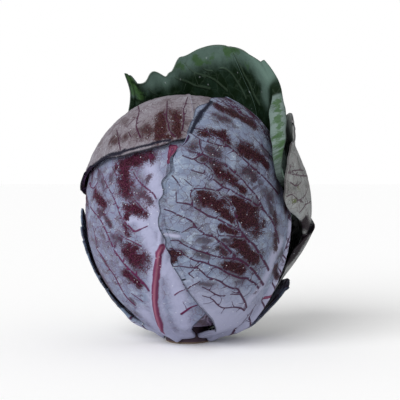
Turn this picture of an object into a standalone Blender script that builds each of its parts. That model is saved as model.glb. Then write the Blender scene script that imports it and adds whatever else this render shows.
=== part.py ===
"""A head of red cabbage, standing on the cut face of its stump.

The origin is the middle of the cut face, +Z is up, and the side with the two big wrapper leaves
faces -Y. Each leaf is drawn flat, in millimetres, by three rails: its left margin, its midrib and
its right margin. The flat leaf is then wrapped round the head like paper round a ball, a fixed
pitch above the leaf under it, and thickened outwards, so that its ribs stand proud.
"""

import math

import bmesh
import bpy
from mathutils import Quaternion, Vector, noise
from mathutils.bvhtree import BVHTree

MM = 0.001

# The head under its wrapper leaves: an egg round CENTRE, all in millimetres.
CENTRE = Vector((0, 0, 96.0))
FAR = 400.0
HEART_RX = 69.0
HEART_RY = 66.5
HEART_UP = 81.7
HEART_DOWN = 91.0
CROWN_POWER = 2.35
FOOT_POWER = 1.95
BULGES = ((Vector((-1, 0.1, 0.04)).normalized(), 3.4), (Vector((0.86, -0.1, 0.5)).normalized(), -2.6))
SWELL = 1.1
SWELL_SIZE = 46.0
ARC = 84.0

# The leaves lie on each other at this pitch, and close on the stump in one ring.
PITCH = 2.4
CLEARANCE = 0.6
BLADE = 1.1
RING_POLAR = math.radians(14)
SPREAD_POLAR = math.radians(30)

# The cut stump.
STUMP_RADIUS = 17.0
STUMP_WAIST = 15.6
STUMP_HEIGHT = 14.0
BASE_GAP = 0.9

# The tightly folded heart.
HEART_FOLDS = 5
HEART_STEP = 2.2
HEART_TWIST = 1.9
HEART_FLOOR = STUMP_HEIGHT + 0.4
HEART_SEGMENTS = 32
HEART_RINGS = 20

SOLIDIFY_REACH = 8.0
FOLD_SHARE = 0.04
EASING = 4
FLESH_END = 0.16


def smoothstep(low, high, value):
    t = min(1.0, max(0.0, (value - low) / (high - low)))
    return t * t * (3 - 2 * t)


def rail_point(rail, t):
    """The point at share t of a smooth curve through the rail's points, spaced by their distance."""
    lengths = [0.0]
    for a, b in zip(rail, rail[1:]):
        lengths.append(lengths[-1] + math.dist(a[:2], b[:2]))
    at = t * lengths[-1]
    last = len(rail) - 2
    i = min(last, max(k for k in range(last + 1) if lengths[k] <= at + 1e-9))
    f = (at - lengths[i]) / (lengths[i + 1] - lengths[i])
    p0, p1, p2, p3 = (Vector(rail[min(len(rail) - 1, max(0, i + k))]) for k in (-1, 0, 1, 2))
    return 0.5 * (
        2 * p1 + (p2 - p0) * f + (2 * p0 - 5 * p1 + 4 * p2 - p3) * f * f + (3 * p1 - p0 - 3 * p2 + p3) * f**3
    )


def direction(azimuth, polar):
    """The unit vector at an azimuth from -Y towards +X, and a polar angle up from the stump."""
    return Vector((math.sin(polar) * math.sin(azimuth), -math.sin(polar) * math.cos(azimuth), -math.cos(polar)))


def polar_of(way):
    return math.acos(max(-1.0, min(1.0, -way.z)))


def heart_radius(way):
    """How far the heart's surface is from the head's centre along way, with its broad soft swells."""
    girth = math.hypot(way.x / HEART_RX, way.y / HEART_RY)
    rise, power = (way.z / HEART_UP, CROWN_POWER) if way.z > 0 else (-way.z / HEART_DOWN, FOOT_POWER)
    egg = (girth**power + rise**power) ** (-1 / power)
    bulge = sum(height * max(0.0, way.dot(toward)) ** 4 for toward, height in BULGES)
    return egg + bulge + SWELL * noise.noise(way * (ARC / SWELL_SIZE)) * smoothstep(0.3, 1.0, polar_of(way))


def layer_lift(leaf, way):
    """How far the inner face of a leaf is above the heart: its layer, closing to its ring at the stump."""
    opened = smoothstep(RING_POLAR, SPREAD_POLAR, polar_of(way))
    return CLEARANCE + PITCH * (leaf["ring"] + (leaf["layer"] - leaf["ring"]) * opened)


def leaf_axes(leaf):
    """The way to the flat leaf's centre, and the ways of its x and y there."""
    azimuth, polar = math.radians(leaf["azimuth"]), leaf["centre"] / ARC
    across = Vector((math.cos(azimuth), math.sin(azimuth), 0))
    centre = direction(azimuth, polar)
    return centre, across, centre.cross(across)


def wrapped(leaf, x, y):
    """The way to the point (x, y) of the flat leaf, which keeps its distance from the leaf's centre."""
    centre, across, along = leaf_axes(leaf)
    reach = math.hypot(x, y - leaf["centre"])
    if reach < 1e-6:
        return centre
    aside = (across * x + along * (y - leaf["centre"])) / reach
    return centre * math.cos(reach / ARC) + aside * math.sin(reach / ARC)


def flattened(leaf, way):
    """The point of the flat leaf that wraps to way."""
    centre, across, along = leaf_axes(leaf)
    reach = math.acos(max(-1.0, min(1.0, way.dot(centre)))) * ARC
    aside = Vector((way.dot(across), way.dot(along))).normalized() * reach
    return aside.x, aside.y + leaf["centre"]


def base_way(leaf, u):
    """The way to the leaf's foot at share u of its width, on the ring round the stump."""
    azimuth = math.radians(leaf["foot_azimuth"] + u * leaf["foot"])
    polar = RING_POLAR
    for _ in range(4):
        way = direction(azimuth, polar)
        polar = math.asin((STUMP_RADIUS + BASE_GAP) / (heart_radius(way) + layer_lift(leaf, way)))
    return direction(azimuth, polar)


def full_rails(leaf):
    """The leaf's left, middle and right rails, each from its foot on the stump."""
    rails = []
    for side, rail in zip((-1, 0, 1), (leaf["left"], leaf["rib"], leaf["right"])):
        foot = (*flattened(leaf, base_way(leaf, side)), 0.0)
        rails.append([(*point, 0.0, 0.0, 0.0)[:6] for point in (foot, *rail)])
    return rails


def crest_shift(leaf, gx):
    """How far the leaf's top margin is moved at column gx: along y, and out."""
    points = leaf["crest"]
    i = min(len(points) - 2, sum(1 for point in points[1:-1] if point[0] <= gx))
    low, high = points[i], points[i + 1]
    t = smoothstep(low[0], high[0], gx)
    return low[1] + (high[1] - low[1]) * t, low[2] + (high[2] - low[2]) * t


def across_share(leaf, end, mid, gx, v):
    """Where column gx crosses: first the midrib's edge, then the blade, and last the turned margin's columns."""
    width = max(1e-6, abs(end[0] - mid[0]))
    edge = min(0.5, leaf["rib_width"] * (1 - 0.72 * v) / width)
    first, last = 2 / leaf["columns"], 1 - 2 * leaf["turned"] / leaf["columns"]
    g = abs(gx)
    if g <= first:
        return edge * g / first, 0.0
    if g >= last:
        turn = (g - last) / (1 - last)
        return 1 - FOLD_SHARE * (1 - turn), turn
    t = (g - first) / (last - first)
    return edge + (1 - FOLD_SHARE - edge) * t, 0.0


def leaf_point(leaf, rails, gx, v):
    """The way to a point of the blade's inner face, and how far it is from the head's centre."""
    mid = rail_point(rails[1], v ** leaf["lag"])
    end = rail_point(rails[0 if gx < 0 else 2], v ** (1 / leaf["lag"]))
    s, turn = across_share(leaf, end, mid, gx, v)
    x = mid[0] + (end[0] - mid[0]) * s + math.copysign(end[3] * turn, -gx)
    y = mid[1] + (end[1] - mid[1]) * s ** (1.25 + 2.0 * v**5) + end[5] * turn
    rise, out = crest_shift(leaf, gx)
    near_top = smoothstep(leaf["crest_from"], 1.0, v)
    y += rise * near_top
    stand = mid[2] + (end[2] - mid[2]) * s**1.6 + end[4] * math.sin(turn * math.pi / 2) + out * near_top
    if v == 0:
        way = base_way(leaf, math.copysign(s, gx))
    else:
        rim = max(smoothstep(0.7, 1.0, s), smoothstep(0.8, 1.0, v)) * smoothstep(0.05, 0.25, v)
        tear = noise.noise(Vector((x, y, leaf["seed"])) / leaf["tear_size"])
        flutter = noise.noise(Vector((x, y, leaf["seed"] + 9)) / leaf["wave_size"])
        toward = Vector((-math.copysign(s, gx), -v)).normalized() * leaf["tear"] * rim * (0.5 + tear)
        x, y = x + toward.x, y + toward.y
        stand += leaf["wave"] * rim * flutter
        way = wrapped(leaf, x, y)
    return way, heart_radius(way) + layer_lift(leaf, way) + max(stand, leaf["least"])


def rib_height(leaf, gx, v, row):
    """How far the ribs stand out of the blade: the midrib down the middle, and a side rib on each second row."""
    flesh = leaf["flesh"] * smoothstep(FLESH_END, 0.0, v) * (1 - gx * gx) ** 0.5
    if abs(gx) < 1 / leaf["columns"]:
        return math.hypot(leaf["rib_height"] * (1 - v) ** 1.6 + 0.25, flesh)
    if flesh > 0:
        return flesh
    if row % 2 or v > 0.9 or v < 0.12:
        return 0.0
    return leaf["vein_height"] * (1 - abs(gx)) ** 0.6 * (1 - 0.5 * v)


def resting_radius(way, spread, trees):
    """The radius at which a blade clears everything already built near this way from the centre."""
    aside = way.orthogonal().normalized() * spread * smoothstep(0.0, 0.7, polar_of(way))
    ways = [way]
    for turn in range(14):
        offset = aside * (1.0 if turn % 2 else 0.5)
        offset.rotate(Quaternion(way, math.tau * turn / 14))
        ways.append((way + offset).normalized())
    best = 0.0
    for ray in ways:
        for tree in trees:
            distance = tree.ray_cast(CENTRE + ray * FAR, -ray)[3]
            if distance is not None:
                best = max(best, FAR - distance)
    return best + CLEARANCE


def eased(radii, columns, rows):
    """The radii of a grid, raised where needed so that the blade bends softly over what it lies on."""
    for _ in range(EASING):
        last = dict(radii)
        for (i, j), radius in last.items():
            near = [last[a, b] for a, b in ((i - 1, j), (i + 1, j), (i, j - 1), (i, j + 1)) if (a, b) in last]
            radii[i, j] = max(radius, sum(near) / len(near))
    return radii


def tree_of(obj):
    """The finished surface of an object for rays, in millimetres."""
    graph = bpy.context.evaluated_depsgraph_get()
    mesh = obj.evaluated_get(graph).to_mesh()
    points = [vertex.co / MM for vertex in mesh.vertices]
    return BVHTree.FromPolygons(points, [list(face.vertices) for face in mesh.polygons])


def make_leaf(leaf, under):
    """One leaf: a grid drawn flat, wrapped round the head and thickened outwards."""
    columns, rows = leaf["columns"], leaf["rows"]
    bpy.ops.mesh.primitive_grid_add(x_subdivisions=columns, y_subdivisions=rows, size=2)
    obj = bpy.context.object
    obj.name = obj.data.name = leaf["name"]
    rails = full_rails(leaf)
    cells = [(round((p.co.x + 1) / 2 * columns), round((p.co.y + 1) / 2 * rows)) for p in obj.data.vertices]
    ways, radii = {}, {}
    for column, row in cells:
        way, radius = leaf_point(leaf, rails, 2 * column / columns - 1, row / rows)
        ways[column, row] = way
        radii[column, row] = max(radius, resting_radius(way, leaf["spread"], under))
    radii = eased(radii, columns, rows)
    thickness = obj.vertex_groups.new(name="thickness")
    for vertex, (column, row) in zip(obj.data.vertices, cells):
        vertex.co = (ways[column, row] * radii[column, row] + CENTRE) * MM
        thick = BLADE + rib_height(leaf, 2 * column / columns - 1, row / rows, row)
        thickness.add([vertex.index], thick / SOLIDIFY_REACH, "REPLACE")
    mesh = bmesh.new()
    mesh.from_mesh(obj.data)
    bmesh.ops.triangulate(mesh, faces=mesh.faces)
    mesh.to_mesh(obj.data)
    mesh.free()
    shell = obj.modifiers.new("Blade thickness", "SOLIDIFY")
    shell.thickness = SOLIDIFY_REACH * MM
    shell.offset = 1
    shell.vertex_group = thickness.name
    finish(obj, leaf["material"])
    return obj


def make_heart():
    """The tight inner head: an egg whose surface steps down at each folded leaf's margin."""
    bpy.ops.mesh.primitive_uv_sphere_add(segments=HEART_SEGMENTS, ring_count=HEART_RINGS, radius=1)
    obj = bpy.context.object
    obj.name = obj.data.name = "heart"
    for vertex in obj.data.vertices:
        way = vertex.co.normalized()
        turn = math.atan2(way.x, -way.y) / (2 * math.pi) + HEART_TWIST * polar_of(way) / (2 * math.pi)
        fold = (turn * HEART_FOLDS) % 1.0
        step = HEART_STEP * (1 - fold) * math.sin(polar_of(way))
        point = way * (heart_radius(way) - step) + CENTRE
        point.z = max(point.z, HEART_FLOOR)
        vertex.co = point * MM
    finish(obj, "heart leaf")
    return obj


def make_stump():
    """The stalk, cut square under the head: a turned plug, a little waisted above the cut."""
    profile = [
        (0.0, STUMP_HEIGHT),
        (STUMP_WAIST - 1.0, STUMP_HEIGHT),
        (STUMP_WAIST, STUMP_HEIGHT - 1.0),
        (STUMP_RADIUS, 2.5),
        (STUMP_RADIUS, 0.8),
        (STUMP_RADIUS - 0.8, 0.0),
        (0.0, 0.0),
    ]
    mesh = bpy.data.meshes.new("stump")
    edges = [(i, i + 1) for i in range(len(profile) - 1)]
    mesh.from_pydata([(r * MM, 0, z * MM) for r, z in profile], edges, [])
    obj = bpy.data.objects.new("stump", mesh)
    HEAD.objects.link(obj)
    turn = obj.modifiers.new("Turned", "SCREW")
    turn.steps = turn.render_steps = 36
    turn.use_merge_vertices = True
    turn.merge_threshold = 0.00005
    finish(obj, "cut stalk")
    return obj


def finish(obj, material):
    """Puts the object in the cabbage's collection, smooth shaded, in its material."""
    for collection in list(obj.users_collection):
        collection.objects.unlink(obj)
    HEAD.objects.link(obj)
    obj.data.materials.append(MATERIALS[material])
    obj.data.shade_smooth()


def make_material(name, colour, roughness):
    material = bpy.data.materials.new(name)
    material.use_nodes = True
    surface = material.node_tree.nodes["Principled BSDF"]
    surface.inputs["Base Color"].default_value = (*colour, 1)
    surface.inputs["Roughness"].default_value = roughness
    surface.inputs["Metallic"].default_value = 0
    return material


# Common values of a leaf. A rail's points are (x, y, stand-off) in millimetres on the flat leaf. Three more
# values turn the margin there: how far it folds back over the blade, stands out, and slides along y.
LEAF = {
    "columns": 16,
    "rows": 18,
    "lag": 1.15,
    "centre": 132.0,
    "foot": 38.0,
    "ring": 0,
    "rib_width": 5.5,
    "rib_height": 5.0,
    "vein_height": 0.5,
    "flesh": 3.0,
    "turned": 2,
    "crest": [(-1, 0, 0), (1, 0, 0)],
    "crest_from": 0.9,
    "tear": 0.0,
    "tear_size": 14.0,
    "wave": 0.0,
    "wave_size": 26.0,
    "least": 0.0,
    "spread": 0.06,
    "seed": 1.0,
    "material": "wrapper leaf",
}

LEAVES = [
    {
        "name": "wrapper_leaf_front_left",
        "azimuth": -20.0,
        "foot_azimuth": -24.0,
        "layer": 1,
        "foot": 42.0,
        "left": [(-27, 36, 0), (-62, 62, 0), (-100, 98, 0), (-116, 140, 0), (-96, 182, 0), (-62, 208, 0)],
        "rib": [(-7, 31, 0), (-5, 59, 0), (0, 89, 0), (7, 115, 0), (10, 180, 0), (8, 216, 0)],
        "right": [(19, 34, 0), (40, 52, 0), (66, 84, 0), (76, 130, 0), (66, 176, 0), (38, 206, 0)],
        "rib_height": 4.6,
        "seed": 3.0,
    },
    {
        "name": "wrapper_leaf_crown",
        "azimuth": 185.0,
        "foot_azimuth": 190.0,
        "layer": 2,
        "centre": 220.0,
        "columns": 20,
        "rows": 22,
        "foot": 30.0,
        "left": [(-34, 50, 0), (-70, 90, 0), (-86, 140, 0), (-84, 200, 0), (-62, 262, 0), (-40, 300, 0)],
        "rib": [(0, 60, 0), (0, 130, 0), (0, 200, 0), (0, 270, 0), (0, 335, 0)],
        "right": [
            (34, 50, 0),
            (70, 90, 0),
            (90, 140, 0, 1, 1),
            (104, 190, 0, 1, 2),
            (113, 228, 0, 2, 3),
            (103, 266, 0, 2, 3),
        ],
        "crest": [(-1, 0, 0), (0.4, 0, 0), (0.7, 0, 1.5), (1, 0, 1.5)],
        "tear": 1.5,
        "seed": 5.0,
    },
    {
        "name": "wrapper_leaf_front_right",
        "azimuth": 74.0,
        "foot_azimuth": 62.0,
        "layer": 3,
        "columns": 20,
        "rows": 22,
        "foot": 39.0,
        "left": [
            (-26, 27, 0, 0, 0),
            (-50, 41, 0, 0, 0.5),
            (-76, 53, 0, 0, 1),
            (-106, 76, 0, 0, 1.5),
            (-127, 111, 0, 1, 2),
            (-131, 146, 0, 1, 2),
            (-116, 185, 0, 2, 2.5),
            (-88, 211, 0, 3, 3),
        ],
        "rib": [(-4, 44, 0), (-4, 80, 0), (2, 120, 0), (4, 180, 0), (0, 238, 0)],
        "right": [(24, 34, 0), (46, 58, 0), (76, 92, 0), (90, 134, 0), (80, 180, 0), (48, 222, 0)],
        "crest": [(-1, 0, 1.5), (1, 0, 1)],
        "spread": 0.09,
        "tear": 4.0,
        "wave": 0.6,
        "least": -0.1,
        "seed": 7.0,
    },
    {
        "name": "outer_leaf_back_left",
        "azimuth": 250.0,
        "foot_azimuth": 256.0,
        "layer": 3,
        "centre": 90.0,
        "columns": 16,
        "rows": 16,
        "foot": 31.0,
        "left": [(-28, 36, 0), (-56, 64, 0), (-72, 100, 1, 0, 1), (-58, 138, 2, 0, 1.5)],
        "rib": [(0, 60, 0), (0, 90, 0), (2, 134, 1)],
        "right": [(14, 36, -1), (22, 60, -2), (32, 84, -2.5, 0, 1), (34, 112, -2, 0, 1)],
        "crest": [(-1, 0, 1.5), (1, 0, 1)],
        "tear": 8.0,
        "tear_size": 9.0,
        "wave": 1.5,
        "least": -4.0,
        "seed": 11.0,
    },
    {
        "name": "outer_leaf_back",
        "azimuth": 135.0,
        "foot_azimuth": 145.0,
        "layer": 4,
        "centre": 150.0,
        "columns": 24,
        "rows": 26,
        "foot": 9.0,
        "flesh": 1.0,
        "turned": 3,
        "left": [
            (-12, 50, 0, 0, 0),
            (-26, 70, 0, 0, 0),
            (-36, 92, 0, 0, 0),
            (-44, 115, 0, 0, 0),
            (-56, 132, -0.5, 0, 1),
            (-80, 149, -1, 1, 3),
            (-101, 168, -1, 2, 6),
            (-107, 183, -1, 3, 8, -2),
            (-103, 196, -1, 4, 9, -4),
            (-97, 207, 0, 5, 11, -6),
            (-87, 215, 1, 5, 13, -9),
            (-73, 220, 2, 4, 14, -11),
            (-55, 222, 5, 3, 14, -11),
            (-40, 219, 14, 1, 9, -6),
            (-26, 218, 26, 0, 7, -2),
            (-15, 222, 38, 0, 3),
        ],
        "rib": [(0, 60, 0), (2, 110, 0), (0, 150, 1), (-5, 190, 7), (-6, 204, 13), (-1, 218, 25), (3, 233, 45)],
        "right": [
            (18, 50, 0),
            (46, 80, 0),
            (78, 116, 0),
            (94, 160, 0),
            (97, 190, 0),
            (92, 217, 3),
            (80, 236, 11),
            (67, 248, 16),
            (61, 256, 31),
        ],
        "crest": [
            (-1, 0, 0),
            (0, 0, 0),
            (0.28, 5, 1),
            (0.4, 6, -4),
            (0.5, 4, -15),
            (0.54, 3, -17),
            (0.6, 6, -10),
            (0.72, -2, -13),
            (0.85, 0, -3),
            (1, 0, 0),
        ],
        "crest_from": 0.75,
        "rib_width": 6.5,
        "rib_height": 4.0,
        "wave": 3.0,
        "wave_size": 16.0,
        "least": -1.5,
        "seed": 13.0,
        "material": "outer leaf",
    },
    {
        "name": "outer_leaf_right",
        "azimuth": 112.0,
        "foot_azimuth": 127.0,
        "layer": 5,
        "centre": 110.0,
        "columns": 20,
        "rows": 28,
        "foot": 8.0,
        "flesh": 0.5,
        "left": [
            (-8, 50, 0),
            (-20, 74, -5),
            (-28, 90, -8),
            (-29, 102, -5),
            (-28, 113, 5),
            (-24, 121, 15),
            (-22, 127, 15),
            (-32, 130.5, 8),
            (-46, 131, 4),
            (-62, 132, -0.5),
            (-79, 139, -1),
            (-82.5, 151, -1),
            (-80, 164, -1),
            (-71, 177, 0),
            (-56, 187, 3),
            (-36, 194, 8),
        ],
        "rib": [(0, 50, 0), (0, 84, 6), (0, 116, 14), (0, 150, 15), (0, 200, 8)],
        "right": [(14, 46, 0), (40, 74, 0), (58, 112, 0), (56, 160, 0), (34, 194, 5)],
        "rib_width": 5.0,
        "rib_height": 2.6,
        "crest": [(-1, 0, 1), (1, 0, 1)],
        "tear": 2.0,
        "tear_size": 9.0,
        "wave": 1.0,
        "least": -8.0,
        "spread": 0.09,
        "seed": 17.0,
        "material": "outer leaf",
    },
    {
        "name": "outer_leaf_stub",
        "azimuth": 104.0,
        "foot_azimuth": 111.5,
        "layer": 6,
        "centre": 60.0,
        "columns": 8,
        "rows": 10,
        "foot": 4.5,
        "flesh": 0.0,
        "turned": 1,
        "left": [(-5, 40, 0), (-10, 60, 1), (-16, 78, 3, 0, 1)],
        "rib": [(0, 50, 0), (-2, 84, 3)],
        "right": [(5, 40, 0), (9, 60, 0), (12, 74, 1, 0, 1)],
        "crest": [(-1, 0, 1.5), (1, 0, 1)],
        "rib_width": 4.0,
        "rib_height": 1.2,
        "tear": 3.0,
        "tear_size": 8.0,
        "wave": 2.0,
        "seed": 19.0,
        "material": "outer leaf",
    },
]

for old in list(bpy.data.objects):
    bpy.data.objects.remove(old)
HEAD = bpy.data.collections.new("Red cabbage head")
bpy.context.scene.collection.children.link(HEAD)
MATERIALS = {
    "wrapper leaf": make_material("wrapper leaf", (0.19, 0.17, 0.27), 0.5),
    "outer leaf": make_material("outer leaf", (0.12, 0.19, 0.15), 0.55),
    "heart leaf": make_material("heart leaf", (0.16, 0.06, 0.14), 0.45),
    "cut stalk": make_material("cut stalk", (0.52, 0.45, 0.36), 0.7),
}
make_stump()
below = [tree_of(make_heart())]
for shape in LEAVES:
    below.append(tree_of(make_leaf({**LEAF, **shape}, below)))
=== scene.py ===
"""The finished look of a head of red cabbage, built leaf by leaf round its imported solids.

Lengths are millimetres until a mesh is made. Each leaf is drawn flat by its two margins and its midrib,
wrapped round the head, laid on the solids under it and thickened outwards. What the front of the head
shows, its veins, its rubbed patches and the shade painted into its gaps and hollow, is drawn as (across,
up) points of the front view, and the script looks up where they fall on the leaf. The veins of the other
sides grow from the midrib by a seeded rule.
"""

import math
import random

import bpy
import numpy as np
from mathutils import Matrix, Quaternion, Vector, kdtree, noise
from mathutils.bvhtree import BVHTree


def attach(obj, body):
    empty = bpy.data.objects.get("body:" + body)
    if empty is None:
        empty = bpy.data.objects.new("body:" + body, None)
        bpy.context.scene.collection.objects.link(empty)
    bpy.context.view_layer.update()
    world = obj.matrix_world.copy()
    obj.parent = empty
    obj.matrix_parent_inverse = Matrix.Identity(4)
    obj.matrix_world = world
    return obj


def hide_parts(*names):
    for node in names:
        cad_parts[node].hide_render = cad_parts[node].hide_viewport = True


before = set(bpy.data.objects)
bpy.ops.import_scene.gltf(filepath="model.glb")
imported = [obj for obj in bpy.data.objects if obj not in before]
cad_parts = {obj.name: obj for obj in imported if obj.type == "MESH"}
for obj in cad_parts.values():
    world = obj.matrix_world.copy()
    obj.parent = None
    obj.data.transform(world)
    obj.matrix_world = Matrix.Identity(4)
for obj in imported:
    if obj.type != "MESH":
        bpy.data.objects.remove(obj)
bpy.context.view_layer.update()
bpy.ops.object.select_all(action="DESELECT")

MM = 0.001

# The view of the front, which the camera also takes.
EYE_DISTANCE = 900.0
EYE_RISE = math.radians(3)
LOOK_AT = Vector((9, 0, 106))
SENSOR = 36.0
LENS = 108.0

# The head under its wrapper leaves, as in the solids.
CENTRE = Vector((0, 0, 96.0))
FAR = 400.0
HEART_RX = 69.0
HEART_RY = 66.5
HEART_UP = 81.7
HEART_DOWN = 91.0
CROWN_POWER = 2.35
FOOT_POWER = 1.95
BULGES = ((Vector((-1, 0.1, 0.04)).normalized(), 3.4), (Vector((0.86, -0.1, 0.5)).normalized(), -2.6))
SWELL = 1.1
SWELL_SIZE = 46.0
ARC = 84.0

# How the leaves lie on the heart and on each other, and the cut stump and the folds of the heart.
PITCH = 2.4
CLEARANCE = 0.6
BLADE = 1.1
RING_POLAR = math.radians(14)
SPREAD_POLAR = math.radians(30)
STUMP_RADIUS = 17.0
STUMP_WAIST = 15.6
STUMP_HEIGHT = 14.0
BASE_GAP = 0.9
HEART_FOLDS = 5
HEART_STEP = 2.2
HEART_TWIST = 1.9
HEART_FLOOR = STUMP_HEIGHT + 0.4
HEART_WRINKLE = 0.3
STUMP_SIDE = 0.4
STUMP_BEVEL = 0.6
SOLIDIFY_REACH = 8.0
FOLD_SHARE = 0.04
EASING = 4
FEELERS = 14
ON_BLADE = 2.0
FLESH_END = 0.16

# How veins are drawn and how they grow: where the side ribs leave the midrib, at what angle in degrees, how
# far they run before they fork, how wide in radians a fork opens, and how far a twig reaches.
VEIN_STEP = 0.5
VEIN_SCALE = 1.25
VEIN_TAPER = 0.45
FIRST_RIB = (14, 20)
NEXT_RIB = (11, 17)
LAST_RIB = 0.93
RIB_ANGLE = (38, 52)
STRIDE = 3
LONGEST_RUN = 60
FORK_AFTER = (26, 46)
FORK_OPENS = (0.2, 0.32)
FORK_WIDTH = 0.72
TWIG_SPACING = 7.5
TWIG_LENGTH = 6.0
RIDGE_HEIGHT = 0.32
RIDGE_WIDTH = 1.5

# The lengths that the paint's last two channels count as one: from the margin, and from the foot.
MARGIN_SPAN = 20.0
LENGTH_SPAN = 400.0


def smoothstep(low, high, value):
    t = min(1.0, max(0.0, (value - low) / (high - low)))
    return t * t * (3 - 2 * t)


def length_of(line):
    return sum(math.dist(a, b) for a, b in zip(line, line[1:]))


def rail_point(rail, t):
    """The point at share t of a smooth curve through the rail's points, spaced by their distance."""
    lengths = [0.0]
    for a, b in zip(rail, rail[1:]):
        lengths.append(lengths[-1] + math.dist(a[:2], b[:2]))
    at = t * lengths[-1]
    last = len(rail) - 2
    i = min(last, max(k for k in range(last + 1) if lengths[k] <= at + 1e-9))
    f = (at - lengths[i]) / (lengths[i + 1] - lengths[i])
    p0, p1, p2, p3 = (Vector(rail[min(len(rail) - 1, max(0, i + k))]) for k in (-1, 0, 1, 2))
    bend = 2 * p0 - 5 * p1 + 4 * p2 - p3
    return 0.5 * (2 * p1 + (p2 - p0) * f + bend * f * f + (3 * p1 - p0 - 3 * p2 + p3) * f**3)


def direction(azimuth, polar):
    """The unit vector at an azimuth from -Y towards +X, and a polar angle up from the stump."""
    out = math.sin(polar)
    return Vector((out * math.sin(azimuth), -out * math.cos(azimuth), -math.cos(polar)))


def polar_of(way):
    return math.acos(max(-1.0, min(1.0, -way.z)))


def heart_radius(way):
    """How far the heart's surface is from the head's centre along way, with its broad soft swells."""
    girth = math.hypot(way.x / HEART_RX, way.y / HEART_RY)
    rise, power = (way.z / HEART_UP, CROWN_POWER) if way.z > 0 else (-way.z / HEART_DOWN, FOOT_POWER)
    egg = (girth**power + rise**power) ** (-1 / power)
    bulge = sum(height * max(0.0, way.dot(toward)) ** 4 for toward, height in BULGES)
    return egg + bulge + SWELL * noise.noise(way * (ARC / SWELL_SIZE)) * smoothstep(0.3, 1.0, polar_of(way))


def layer_lift(leaf, way):
    """How far the inner face of a leaf is above the heart: its layer, closing to its ring at the stump."""
    opened = smoothstep(RING_POLAR, SPREAD_POLAR, polar_of(way))
    return CLEARANCE + PITCH * (leaf["ring"] + (leaf["layer"] - leaf["ring"]) * opened)


def leaf_axes(leaf):
    """The way to the flat leaf's centre, and the ways of its x and y there."""
    azimuth, polar = math.radians(leaf["azimuth"]), leaf["centre"] / ARC
    across = Vector((math.cos(azimuth), math.sin(azimuth), 0))
    centre = direction(azimuth, polar)
    return centre, across, centre.cross(across)


def wrapped(leaf, x, y):
    """The way to the point (x, y) of the flat leaf, which keeps its distance from the leaf's centre."""
    centre, across, along = leaf["axes"]
    reach = math.hypot(x, y - leaf["centre"])
    if reach < 1e-6:
        return centre
    aside = (across * x + along * (y - leaf["centre"])) / reach
    return centre * math.cos(reach / ARC) + aside * math.sin(reach / ARC)


def flattened(leaf, way):
    """The point of the flat leaf that wraps to way."""
    centre, across, along = leaf["axes"]
    reach = math.acos(max(-1.0, min(1.0, way.dot(centre)))) * ARC
    aside = Vector((way.dot(across), way.dot(along))).normalized() * reach
    return aside.x, aside.y + leaf["centre"]


def base_way(leaf, u):
    """The way to the leaf's foot at share u of its width, on the ring round the stump."""
    azimuth = math.radians(leaf["foot_azimuth"] + u * leaf["foot"])
    polar = RING_POLAR
    for _ in range(4):
        way = direction(azimuth, polar)
        polar = math.asin((STUMP_RADIUS + BASE_GAP) / (heart_radius(way) + layer_lift(leaf, way)))
    return direction(azimuth, polar)


def full_rails(leaf):
    """The leaf's left, middle and right rails, each from its foot on the stump."""
    rails = []
    for side, rail in zip((-1, 0, 1), (leaf["left"], leaf["rib"], leaf["right"])):
        foot = (*flattened(leaf, base_way(leaf, side)), 0.0)
        rails.append([(*point, 0.0, 0.0, 0.0, 0.0)[:6] for point in (foot, *rail)])
    return rails


def crest_shift(leaf, gx):
    """How far the leaf's top margin is moved at column gx: along y, and out."""
    points = leaf["crest"]
    i = min(len(points) - 2, sum(1 for point in points[1:-1] if point[0] <= gx))
    low, high = points[i], points[i + 1]
    t = smoothstep(low[0], high[0], gx)
    return low[1] + (high[1] - low[1]) * t, low[2] + (high[2] - low[2]) * t


def across_share(leaf, end, mid, gx, v):
    """Where column gx crosses: first the midrib's edge, then the blade, and last the turned margin."""
    width = max(1e-6, abs(end[0] - mid[0]))
    edge = min(0.5, leaf["rib_width"] * (1 - 0.72 * v) / width)
    first, last = 2 / leaf["columns"], 1 - 2 * leaf["turned"] / leaf["columns"]
    g = abs(gx)
    if g <= first:
        return edge * g / first, 0.0
    if g >= last:
        turn = (g - last) / (1 - last)
        return 1 - FOLD_SHARE * (1 - turn), turn
    t = (g - first) / (last - first)
    return edge + (1 - FOLD_SHARE - edge) * t, 0.0


def leaf_point(leaf, mid, end, gx, v):
    """A point of the blade's inner face: its place on the flat leaf, its way and its radius."""
    s, turn = across_share(leaf, end, mid, gx, v)
    x = mid[0] + (end[0] - mid[0]) * s + math.copysign(end[3] * turn, -gx)
    y = mid[1] + (end[1] - mid[1]) * s ** (1.25 + 2.0 * v**5) + end[5] * turn
    rise, out = crest_shift(leaf, gx)
    near_top = smoothstep(leaf["crest_from"], 1.0, v)
    y += rise * near_top
    stand = mid[2] + (end[2] - mid[2]) * s**1.6 + end[4] * math.sin(turn * math.pi / 2) + out * near_top
    if v == 0:
        way = base_way(leaf, math.copysign(s, gx))
    else:
        rim = max(smoothstep(0.7, 1.0, s), smoothstep(0.8, 1.0, v)) * smoothstep(0.05, 0.25, v)
        tear = noise.noise(Vector((x, y, leaf["seed"])) / leaf["tear_size"])
        flutter = noise.noise(Vector((x, y, leaf["seed"] + 9)) / leaf["wave_size"])
        toward = Vector((-math.copysign(s, gx), -v)).normalized() * leaf["tear"] * rim * (0.5 + tear)
        x, y = x + toward.x, y + toward.y
        stand += leaf["wave"] * rim * flutter
        way = wrapped(leaf, x, y)
    return x, y, way, heart_radius(way) + layer_lift(leaf, way) + max(stand, leaf["least"])


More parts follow.
